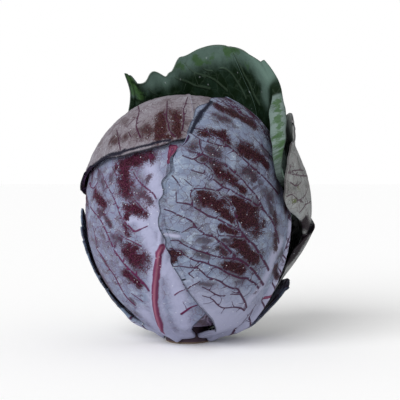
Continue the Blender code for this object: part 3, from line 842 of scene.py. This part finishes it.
CROWN = dict(
    name="wrapper_leaf_crown", outer="brown crown", azimuth=185, foot_azimuth=190, layer=2, centre=220,
    columns=20, rows=22, fine=(200, 228), foot=30, tear=1.5, seed=5.0, grown_from=-0.05,
    left=[(-34, 50), (-70, 90), (-86, 140), (-84, 200), (-62, 262), (-40, 300)],
    rib=[(0, 60), (0, 130), (0, 200), (0, 270), (0, 335)],
    right=[(34, 50), (70, 90), (90, 140, 0, 1, 1), (104, 190, 0, 1, 2), (113, 228, 0, 2, 3),
        (103, 266, 0, 2, 3)],
    crest=[(-1, 0, 0), (0.4, 0, 0), (0.7, 0, 1.5), (1, 0, 1.5)],
    veins=[(0.5, [(-4.5, 157), (-3.5, 162), (-3, 166), (-3.5, 172), (-2, 176.5), (0, 182)]), (0.6,
        [(-9.5, 152.5), (-12.5, 155.5), (-14, 158), (-14.5, 162.5), (-15.5, 167), (-15.5, 172.5),
        (-15.5, 179)]), (0.6, [(-35, 152.5), (-37, 157), (-38, 161), (-37.5, 165), (-36.5, 168.5),
        (-36, 172.5), (-37, 175.5)]), (0.5, [(-50, 143), (-50.5, 147.5), (-51.5, 152.5), (-52.5, 158)]),
        (0.4, [(-42, 152.5), (-44, 156)]), (0.4, [(-40, 165), (-45, 160)])],
    patches=[(-19.5, 161, 13, 7.5, 90, 1), (-8, 161, 12, 5.5, 90, 1), (-30.5, 157, 8, 6.5, 0, 0.9),
        (-14, 153, 10, 3, 0, 1), (-55, 149.5, 5.5, 4, 0, 0.8), (-47, 152.5, 3.5, 3, 0, 0.8)],
    dark=[(1.4, [(-6, 150.5), (-13, 150), (-21, 149), (-29, 146.5), (-39.5, 144), (-47, 142)]), (2.2,
        [(-47, 142.5), (-50, 140.5), (-58.5, 136.5), (-67.5, 133), (-72, 130), (-75.5, 125)])],
)

FRONT_RIGHT = dict(
    name="wrapper_leaf_front_right", azimuth=74, foot_azimuth=62, layer=3, columns=20, rows=22,
    fine=(200, 210), foot=39, spread=0.09, tear=4, wave=0.6, least=-0.1, seed=7.0, pale_foot=72,
    grown_from=-0.35,
    left=[(-26, 27), (-50, 41, 0, 0, 0.5), (-76, 53, 0, 0, 1), (-106, 76, 0, 0, 1.5), (-127, 111, 0, 1, 2),
        (-131, 146, 0, 1, 2), (-116, 185, 0, 2, 2.5), (-88, 211, 0, 3, 3)],
    rib=[(-4, 44), (-4, 80), (2, 120), (4, 180), (0, 238)],
    right=[(24, 34), (46, 58), (76, 92), (90, 134), (80, 180), (48, 222)],
    crest=[(-1, 0, 1.5), (1, 0, 1)],
    veins=[(0.75, [(25, 180.5), (31, 176.5), (37.5, 171.5), (43, 168), (50, 165), (53, 162),
        (58.5, 154.5)]), (0.8, [(66, 110.5), (62, 116), (56, 122.5), (51.5, 126.5), (47, 130.5), (40, 137),
        (35, 141.5), (29, 146.5), (25, 150), (20.5, 152.5), (15.5, 155), (10, 158), (5, 158.5)]), (0.5,
        [(29, 146.5), (27, 145.5), (21, 147), (15.5, 148.5), (10, 150.5), (5.5, 153), (1, 156)]), (0.85,
        [(67, 74), (64.5, 84), (62, 90.5), (57, 97), (54, 102), (51.5, 107), (48.5, 111), (44.5, 115.5),
        (41, 120), (36.5, 124), (32, 128), (28.5, 131.5), (25, 133.5), (20.5, 135.5), (15.5, 137.5),
        (10.5, 139.5), (4, 136.5), (0.5, 137), (-4, 139)]), (0.45, [(10.5, 139.5), (5, 141.5),
        (0.5, 143)]), (0.45, [(4, 136.5), (7.5, 134), (12, 132.5), (15.5, 130), (18, 126.5), (18, 122)]),
        (0.4, [(8.5, 149.5), (9, 145), (11, 141)]), (0.75, [(57, 97), (50.5, 102), (46, 105.5),
        (38, 109.5), (31, 113.5), (26, 115.5), (21, 119.5), (17, 122.5), (12, 125), (7.5, 126.5),
        (2.5, 128.5)]), (0.55, [(26, 115.5), (21.5, 113), (15.5, 114), (10, 114.5), (5.5, 114.5), (1, 118),
        (-2.5, 121)]), (0.55, [(40.5, 80), (38.5, 83.5), (36.5, 88.5), (35.5, 93.5), (34, 98.5),
        (31.5, 103), (28, 107), (24.5, 109.5), (21.5, 113)]), (0.4, [(5.5, 114.5), (2.5, 112), (1.5, 109),
        (3, 106), (3.5, 102)]), (1.0, [(59.5, 54), (57, 58.5), (54.5, 63), (51.5, 68), (48.5, 72.5),
        (44.5, 76), (41, 80), (38.5, 83), (34.5, 85.5), (29.5, 87.5), (25.5, 90), (20.5, 92.5), (15.5, 94),
        (9.5, 97.5), (4.5, 100.5), (1.5, 102.5), (-4, 103.5), (-9, 104)]), (0.95, [(55.5, 43), (53.5, 46),
        (51, 50), (48, 53.5), (44, 57.5), (40.5, 60), (36.5, 63), (33, 66), (29, 70), (25.5, 73.5),
        (21.5, 76.5), (19.5, 78.5), (14, 80), (9, 83), (5.5, 86), (3.5, 89), (1.5, 91), (-3, 93),
        (-7.5, 95), (-12.5, 97.5), (-18, 99)]), (0.5, [(5.5, 85.5), (2, 85.5), (-1, 84), (-5, 81.5)]),
        (0.4, [(-6.5, 95), (-11, 93.5), (-13, 91.5)]), (0.55, [(40.5, 78.5), (34.5, 78.5), (29.5, 79.5),
        (23, 79.5), (21.5, 84)]), (0.75, [(39, 60.5), (36, 62), (31.5, 62.5), (26.5, 63), (21.5, 64),
        (16, 65.5), (10.5, 67.5), (5.5, 69), (0.5, 71), (-4, 73.5), (-7.5, 76), (-13, 76), (-18, 76.5)]),
        (0.8, [(52, 40.5), (49.5, 43.5), (46, 46), (43, 48), (38.5, 48), (34.5, 49.5), (29.5, 51.5),
        (25.5, 54), (20.5, 56.5), (15.5, 58), (10.5, 60), (5.5, 61), (0.5, 63.5), (-3, 65.5), (-6, 68.5),
        (-10.5, 69), (-13.5, 70)]), (0.75, [(43, 26), (42, 30), (40.5, 33), (38.5, 36.5), (36.5, 40),
        (33, 40.5), (28, 42.5), (23.5, 45.5), (19, 47.5), (14.5, 49), (10.5, 52.5), (6, 56), (1.5, 56),
        (-4, 56.5), (-10, 56.5)]), (0.4, [(6, 56), (9.5, 59)]), (0.5, [(6, 56), (2, 52.5), (0.5, 51.5),
        (4.5, 48)]), (0.55, [(27, 35), (23.5, 35), (19.5, 36.5), (15.5, 39), (10.5, 41.5)]), (0.5,
        [(38.5, 36), (34.5, 36), (31, 36)]), (0.6, [(41.5, 24), (38.5, 26), (33.5, 26.5), (28.5, 26),
        (24.5, 26.5), (20.5, 29.5), (19, 31.5), (15.5, 33.5), (10.5, 35)]), (0.55, [(63.5, 134.5),
        (60, 139.5), (56, 144), (52, 148.5), (48, 152.5)]), (0.45, [(59, 153), (55.5, 156.5),
        (52.5, 160.5)]), (0.6, [(0, 40.5), (3, 42.5), (6, 44), (9, 46)]), (0.6, [(13, 27.5), (10.5, 24),
        (7, 21.5), (5.5, 19)]), (0.6, [(-15, 126), (-12, 124.5), (-9, 121), (-6.5, 117)]), (0.4,
        [(-9, 111.5), (-9, 104)])],
    patches=[(35.5, 168.5, 19, 4.5, -27, 1), (25.5, 166, 7, 5, -20, 0.8), (20, 154, 12, 5, -12, 1),
        (5, 145, 6, 4, 0, 0.75), (19, 141, 9, 6, -30, 0.8), (46, 141, 12, 6, -25, 1),
        (56.5, 134, 8, 6, -60, 1), (18.5, 134.5, 10, 4, -22, 0.9), (25, 125, 9, 5, -35, 1),
        (36.5, 116.5, 10, 4, -40, 1), (46, 125, 11, 6, -45, 0.8), (17, 105, 13, 8, -25, 1),
        (41.5, 101, 13, 7, -20, 1), (28.5, 95, 10, 5, -40, 1), (31, 84, 10, 5, -25, 1),
        (45, 90, 14, 7.5, -20, 1), (43, 67.5, 16, 7.5, -45, 1), (34, 56, 11, 6, -15, 1),
        (25.5, 69, 6.5, 4, -40, 0.9), (28.5, 75.5, 5.5, 3, -10, 0.8), (12, 77, 6.5, 3, -15, 0.5),
        (13.5, 70.5, 3.5, 1.5, 0, 0.5), (10.5, 65, 6.5, 2.5, -20, 0.6), (-9, 66, 7, 4, -20, 1),
        (-12, 60, 5, 3, 30, 1), (38, 45.5, 4.5, 3.5, 0, 0.6), (50.5, 38, 3.5, 3, 45, 0.6),
        (13, 43.5, 8, 3, -10, 0.55), (-1.5, 32.5, 7, 2.5, -25, 0.7), (-6.5, 27.5, 5.5, 2.2, 8, 0.5),
        # From (64.5, 83) on, the patches along the right margin are partly rubbed bloom and partly painted
        # shade under the back leaves.
        (3, 23.5, 3.5, 2, 10, 0.55), (9.5, 18, 3.5, 1.8, 0, 0.55), (64.5, 83, 16, 3, -87, 0.9),
        (54.5, 115.5, 8, 4, -45, 0.5), (61, 150, 12, 3.5, -70, 0.75), (66, 121, 14, 3.5, -85, 0.7),
        (61, 103, 10, 4.5, -80, 0.7), (57, 141, 6, 3.5, -60, 0.7)],
    pale=[(6, [(68, 73), (63, 64.5), (60, 54), (55, 43), (47, 33), (38, 23), (28, 13), (19, 8)]), (2.2,
        [(-16, 80), (-7, 79)])],
    flush=[(1.2, [(69, 55), (64.5, 44)]), (1.0, [(61.5, 40), (54.5, 32)]), (0.8, [(56, 30), (54, 28)])],
    green=[(2.0, [(3, 146), (7, 144)])],
    dark=[(1.6, [(2, 156), (5, 163)]), (2.5, [(6, 164), (10, 171)]), (1.8, [(11, 171.5), (17, 179),
        (25, 182.5), (34, 182)]), (0.7, [(-21, 83), (-18, 84), (-13.5, 84), (-9, 83), (-5.5, 81.5)]), (1.0,
        [(-20, 72), (-20.5, 83)]), (1.1, [(-4, 46.5), (-3, 46.8)])],
)

BACK_LEFT = dict(
    name="outer_leaf_back_left", outer="blue fringe", inner="blue fringe", azimuth=250, foot_azimuth=256,
    layer=3, centre=90, rows=16, fine=(100, 100), foot=31, tear=8, tear_size=9, wave=1.5, least=-4,
    seed=11.0, grown_from=-2, grown_patches=40,
    left=[(-28, 36), (-56, 64), (-72, 100, 1, 0, 1), (-58, 138, 2, 0, 1.5)],
    rib=[(0, 60), (0, 90), (2, 134, 1)],
    right=[(14, 36, -1), (22, 60, -2), (32, 84, -2.5, 0, 1), (34, 112, -2, 0, 1)],
    crest=[(-1, 0, 1.5), (1, 0, 1)],
)

BACK = dict(
    name="outer_leaf_back", slot="outer_leaf", outer="green back", inner="green face", azimuth=135,
    foot_azimuth=145, layer=4, centre=150, columns=24, rows=26, fine=(180, 200), foot=9, flesh=1, turned=3,
    crest_from=0.75, rib_width=6.5, rib_height=4, wave=3, wave_size=16, least=-1.5, seed=13.0,
    grown_from=-2, grown_below=188, pale_foot=60,
    left=[(-12, 50), (-26, 70), (-36, 92), (-44, 115), (-56, 132, -0.5, 0, 1), (-80, 149, -1, 1, 3),
        (-101, 168, -1, 2, 6), (-107, 183, -1, 3, 8, -2), (-103, 196, -1, 4, 9, -4),
        (-97, 207, 0, 5, 11, -6), (-87, 215, 1, 5, 13, -9), (-73, 220, 2, 4, 14, -11),
        (-55, 222, 5, 3, 14, -11), (-40, 219, 14, 1, 9, -6), (-26, 218, 26, 0, 7, -2),
        (-15, 222, 38, 0, 3)],
    rib=[(0, 60), (2, 110), (0, 150, 1), (-5, 190, 7), (-6, 204, 13), (-1, 218, 25), (3, 233, 45)],
    right=[(18, 50), (46, 80), (78, 116), (94, 160), (97, 190), (92, 217, 3), (80, 236, 11), (67, 248, 16),
        (61, 256, 31)],
    crest=[(-1, 0, 0), (0, 0, 0), (0.28, 5, 1), (0.4, 6, -4), (0.5, 4, -15), (0.54, 3, -17), (0.6, 6, -10),
        (0.72, -2, -13), (0.85, 0, -3), (1, 0, 0)],
    veins=[(0.9, [(53.5, 178), (49.5, 185), (46, 193), (42, 200.5), (38.5, 208), (34.5, 215.5)]), (0.6,
        [(43.5, 182.5), (40.5, 188.5), (37, 194.5), (33, 200), (28, 204.5), (23.5, 204.5)]), (0.6,
        [(16.5, 189.5), (9, 191), (2.5, 193), (-4, 195.5), (-10, 198.5)]), (0.55, [(29.5, 188),
        (25.5, 191.5), (21, 195.5), (15, 198.5), (8.5, 200), (2.5, 203.5), (-2.5, 209)]), (0.4, [(19, 203),
        (13.5, 203.5), (10, 206.5)]), (0.4, [(-25, 185.5), (-30, 189.5)])],
    pale=[(6, [(-30, 196), (-20, 202), (-8, 211), (5, 214), (20, 217), (36, 219), (48, 213), (54, 205)]),
        (6, [(56, 208), (58, 196), (58, 184)]), (3.5, [(-48, 200), (-46, 194), (-43, 187)])],
    green=[(2.5, [(7.5, 209.5), (9, 209)]), (2.5, [(15, 208), (18, 212)]), (3, [(29, 215.5), (35, 218.5)]),
        (2.5, [(43, 209), (45, 207)]), (2.5, [(-7, 207), (-5, 206)]), (5, [(-42, 194), (-39, 187)]), (2.6,
        [(67, 182), (67, 165), (68, 150), (68, 135)])],
    flush=[(8, [(68, 196), (68, 180), (68, 165), (69, 150), (70, 132), (70, 120)])],
)

RIGHT = dict(
    name="outer_leaf_right", slot="outer_leaf", outer="grey back", inner="hollow", azimuth=112,
    foot_azimuth=127, layer=5, centre=110, columns=20, rows=28, fine=(120, 150), foot=8, flesh=0.5,
    rib_width=5, rib_height=2.6, tear=2, tear_size=9, wave=1, least=-8, spread=0.09, seed=17.0,
    grown_from=0.3,
    left=[(-8, 50), (-20, 74, -5), (-28, 90, -8), (-29, 102, -5), (-28, 113, 5), (-24, 121, 15),
        (-22, 127, 15), (-32, 130.5, 8), (-46, 131, 4), (-62, 132, -0.5), (-79, 139, -1), (-82.5, 151, -1),
        (-80, 164, -1), (-71, 177), (-56, 187, 3), (-36, 194, 8)],
    rib=[(0, 50), (0, 84, 6), (0, 116, 14), (0, 150, 15), (0, 200, 8)],
    right=[(14, 46), (40, 74), (58, 112), (56, 160), (34, 194, 5)],
    crest=[(-1, 0, 1), (1, 0, 1)],
    veins=[(0.55, [(71, 121.5), (75.5, 125.5), (79.5, 128), (85.5, 128)]), (0.5, [(76, 119), (80, 116.5),
        (83.5, 119), (89.5, 121)]), (0.5, [(83, 98), (87, 102.5), (90.5, 105), (94.5, 107)]), (0.4,
        [(80.5, 105), (83.5, 106.5), (86, 109), (88.5, 115)]), (0.4, [(73.5, 109), (77, 110), (82, 105.5),
        (85.5, 104)])],
    pale=[(6, [(72, 140), (74, 150), (66, 160)])],
    # The dark strokes are painted shade of the hollow under the lobe, on both faces.
    dark=[(4.5, [(87, 92), (88, 88), (91, 84), (92, 80)]), (4.5, [(88, 79), (84, 73), (80, 67),
        (75, 60)])],
    green=[(3, [(78, 105.5), (79, 106)]), (3, [(82, 114), (83, 114)]), (2, [(88.5, 117.5), (89, 118)])],
)

STUB = dict(
    name="outer_leaf_stub", slot="outer_leaf", outer="blue stub", inner="blue stub", azimuth=104,
    foot_azimuth=111.5, layer=6, centre=60, columns=8, rows=10, fine=(50, 60), foot=4.5, flesh=0, turned=1,
    rib_width=4, rib_height=1.2, tear=3, tear_size=8, wave=2, seed=19.0, grown_from=-2, grown_patches=6,
    left=[(-5, 40), (-10, 60, 1), (-16, 78, 3, 0, 1)],
    rib=[(0, 50), (-2, 84, 3)],
    right=[(5, 40), (9, 60), (12, 74, 1, 0, 1)],
    crest=[(-1, 0, 1.5), (1, 0, 1)],
)

LEAVES = (FRONT_LEFT, CROWN, FRONT_RIGHT, BACK_LEFT, BACK, RIGHT, STUB)

# A dull wax bloom over a purple skin: the outside of the wrapper leaves looks dusty blue-grey, and
# brown-purple and a little shinier where it is rubbed.
BLOOMED = dict(
    bloom=("#74859a", "#74748c", "#a6b6c8"), skin=("#1a0910", "#5e3c40"), flush=("#64183f", "#925669"),
    pale="#9c9eb6", vein="#401b33", green="#5f6a50", edge="#171724", deep_and_shade="#2c2030",
    worn=0.75, dew_glint=0.6, dust=0.7, vein_force=0.92, net=0.45, mottle=1.32, rim=0.8, dark_to=-60.0,
    dull=0.5, shine=0.34,
)

LOOKS = {
    "bloomed": BLOOMED,
    # The left front leaf is thinner in bloom, with a redder skin.
    "crimson left": dict(
        BLOOMED, bloom=("#77859c", "#736d87", "#a2aec1"), skin=("#240a16", "#5e3545"), vein="#561c40",
        pale="#9a9cb6", worn=0.8,
    ),
    # The crown leaf has less bloom and more brown.
    "brown crown": dict(
        BLOOMED, bloom=("#817f87", "#72696f", "#9c9ba4"), skin=("#261112", "#5a3d3e"), worn=0.8,
    ),
    # The inside of a wrapper leaf: smooth dark plum with little bloom.
    "plum": dict(
        BLOOMED, bloom=("#4a3350", "#3b2944", "#5b4a66"), vein="#7a6683", net=0.2, edge="#24182c",
        dull=0.42,
    ),
    # The leaf behind on the left shows only its torn fringe: blue wax with dark tips.
    "blue fringe": dict(BLOOMED, bloom=("#74859a", "#5c6a80", "#93a3b6"), edge="#66768a", rim=0.3),
    # The inside of the loose back leaf: wet-looking dark green with pale veins, near black towards its
    # foot:
    # partly its own deep green and partly painted shade of the head.
    "green face": dict(
        BLOOMED, bloom=("#0b170a", "#172618", "#2c4037"), dust=0.5, skin=("#0a1506", "#12200e"),
        pale="#566b63", vein="#4d5f4e", vein_force=0.35, net=0.15, green="#3a5730",
        flush=("#6b7c77", "#7a8a86"), mottle=1.26, edge="#323f34", rim=0.7, dull=0.36, shine=0.28,
        deep_and_shade="#020401", dark_to=221.0, worn=0.6, dew_glint=0.2,
    ),
    # Its outside: grey-green wax over dark green.
    "green back": dict(
        BLOOMED, bloom=("#8fa39e", "#7c9189", "#b4c4c1"), skin=("#2a3f2a", "#3a4c38"), pale="#c3cdc8",
        vein="#c0ccc5", vein_force=0.85, net=0.3, worn=0.5, flush=("#7c9189", "#8fa39e"), green="#365a26",
        mottle=1.42, edge="#2b3a30",
    ),
    # The bulging right leaf: pale grey-green wax; its edge colour also paints the hollow's shade.
    "grey back": dict(
        BLOOMED, bloom=("#8b9293", "#8f8b8a", "#b4bcbb"), skin=("#474a44", "#4c4448"), pale="#b6bab6",
        vein="#4f3644", vein_force=0.85, worn=0.8, green="#5f6640", edge="#1c1119", rim=0.4,
    ),
    # Its inside: the same wax by the margin, and nearly black purple in the hollow, darkest towards the
    # foot:
    # a dark purple skin with painted shade over it.
    "hollow": dict(
        BLOOMED, bloom=("#a3a9a8", "#a09d9b", "#bcc3c1"), skin=("#474a44", "#4c4448"), pale="#8a8f8c",
        vein="#5f4f58", vein_force=0.6, net=0.3, worn=0.4, edge="#3a3a44", rim=0.5, deep_and_shade="#120910",
        dark_to=152.0, dull=0.4,
    ),
    # The torn stub: dark blue wax.
    "blue stub": dict(BLOOMED, bloom=("#6a7a8c", "#424d5e", "#8796a8"), edge="#252b36", rim=0.3),
}


def stroke(across, up, half_length, half_width, tilt, force):
    """A patch as the stroke of a round brush."""
    reach = max(0.0, half_length - half_width)
    aside = reach * math.cos(math.radians(tilt)), reach * math.sin(math.radians(tilt))
    return force, half_width, [(across + k * aside[0], up + k * aside[1]) for k in (-1, 0, 1)]


def heart_skin():
    """Firm folded leaves: waxy plum with paler veins that run up from the stalk."""
    skin, tree, shader = new_skin("waxy plum heart")
    place = add(tree, "TexCoord", {}, out="Object")
    cloud = add(tree, "TexNoise", {"Vector": place, "Scale": 1 / 0.009, "Detail": 5.0, "Roughness": 0.65})
    bend = add(tree, "TexNoise", {"Vector": place, "Scale": 1 / 0.012}, out="Color")
    bent = add(tree, "VectorMath", {0: bend, 1: (0.012, 0.012, 0.012), 2: place}, operation="MULTIPLY_ADD")
    bent = add(tree, "VectorMath", {0: bent, 1: (1.0, 1.0, 0.45)}, operation="MULTIPLY")
    cells = {"Vector": bent, "Scale": 1 / 0.009}
    net = add(tree, "TexVoronoi", cells, out="Distance", feature="DISTANCE_TO_EDGE")
    waxy = mask(tree, cloud, (), 0.35, 0.65)
    in_vein = mask(tree, net, (), 0.0, 0.09, 0.8, 0.0)
    base = "#34162c"
    for share, over in ((waxy, "#6a6480"), (in_vein, "#8d7d98")):
        base = add(tree, "Mix", {0: share, 6: base, 7: over}, out=2, data_type="RGBA")
    bump = add(tree, "Bump", {"Height": net, "Strength": 0.5, "Distance": 0.001})
    tree.links.new(base, shader.inputs["Base Color"])
    tree.links.new(bump, shader.inputs["Normal"])
    shader.inputs["Roughness"].default_value = 0.45
    return skin


def stalk_skin():
    """A dry cut stalk: pale fibres in rings round a lighter pith, with a browned rim."""
    skin, tree, shader = new_skin("dry cut stalk")
    place = add(tree, "TexCoord", {}, out="Object")
    level = add(tree, "VectorMath", {0: place, 1: (1.0, 1.0, 0.0)}, operation="MULTIPLY")
    radius = add(tree, "VectorMath", {0: level}, out="Value", operation="LENGTH")
    share = add(tree, "MapRange", {"Value": radius, "From Max": STUMP_RADIUS * MM})
    fibre = add(tree, "TexNoise", {"Vector": place, "Scale": 900.0, "Detail": 4.0, "Roughness": 0.7})
    ring = mask(tree, share, [(fibre, 0.35)], 0.75, 1.15)
    height = add(tree, "SeparateXYZ", {0: place}, out=2)
    side = add(tree, "MapRange", {"Value": height, "From Min": 0.0004, "From Max": 0.0016})
    base = "#c9bfa6"
    for share, over in ((fibre, "#a89a80"), (ring, "#7d6a55"), (side, "#382433")):
        base = add(tree, "Mix", {0: share, 6: base, 7: over}, out=2, data_type="RGBA")
    bump = add(tree, "Bump", {"Height": fibre, "Strength": 0.5, "Distance": 0.0006})
    tree.links.new(base, shader.inputs["Base Color"])
    tree.links.new(bump, shader.inputs["Normal"])
    shader.inputs["Roughness"].default_value = 0.75
    return skin


SKINS = {name: leaf_skin(name + " leaf skin", look) for name, look in LOOKS.items()}
SKINS["heart"] = heart_skin()
SKINS["stalk"] = stalk_skin()

stump = shaped_ball("cut_stalk", 96, 60, stump_place, "stalk")
stump.data.set_sharp_from_angle(angle=math.radians(50))
seat(stump, "stump")
seat(shaped_ball("folded_heart", 160, 100, heart_place, "heart"), "heart")
under = [solid_tree("heart")]
for shape in LEAVES:
    leaf = {**LEAF, **shape}
    leaf["patches"] = [stroke(*patch) for patch in leaf["patches"]]
    for kind in STROKES:
        leaf[kind] = [(1.0, half_width, points) for half_width, points in leaf[kind]]
    leaf["axes"] = leaf_axes(leaf)
    make_leaf(leaf, under)
    under.append(solid_tree(leaf["name"]))

# The room's even light, and how high and how far to the left of the camera the big window stands. Together
# they make a white floor just white.
ROOM_LIGHT = 0.55
KEY_RISE = 34
KEY_ASIDE = 38

bpy.ops.mesh.primitive_plane_add(size=6.0)
floor = bpy.context.object
floor.name = "studio_floor"
paper, _, shader = new_skin("matt white paper")
shader.inputs["Base Color"].default_value = colour("#ffffff")
shader.inputs["Roughness"].default_value = 0.9
floor.data.materials.append(paper)

world = bpy.data.worlds.new("pale room")
world.use_nodes = True
background = world.node_tree.nodes["Background"]
background.inputs["Color"].default_value = colour("#ffffff")
seen = add(world.node_tree, "LightPath", {}, out="Is Camera Ray")
strength = add(world.node_tree, "MapRange", {"Value": seen, "To Min": ROOM_LIGHT, "To Max": 1.0})
world.node_tree.links.new(strength, background.inputs["Strength"])
bpy.context.scene.world = world
key_data = bpy.data.lights.new("big soft window", "SUN")
key_data.angle = math.radians(50)
key_data.energy = math.pi * (1 - ROOM_LIGHT) / math.sin(math.radians(KEY_RISE))
key = bpy.data.objects.new("big soft window", key_data)
key.rotation_euler = (math.radians(90 - KEY_RISE), 0, math.radians(-KEY_ASIDE))
bpy.context.scene.collection.objects.link(key)

camera_data = bpy.data.cameras.new("front")
camera_data.lens = LENS
camera_data.sensor_width = SENSOR
camera_data.clip_start = 0.01
camera = bpy.data.objects.new("front", camera_data)
toward_eye = Vector((0, -math.cos(EYE_RISE), math.sin(EYE_RISE)))
camera.location = (LOOK_AT + toward_eye * EYE_DISTANCE) * MM
camera.rotation_euler = (-toward_eye).to_track_quat("-Z", "Y").to_euler()
bpy.context.scene.collection.objects.link(camera)
bpy.context.scene.camera = camera
bpy.context.scene.view_settings.view_transform = "Standard"

bpy.context.view_layer.update()
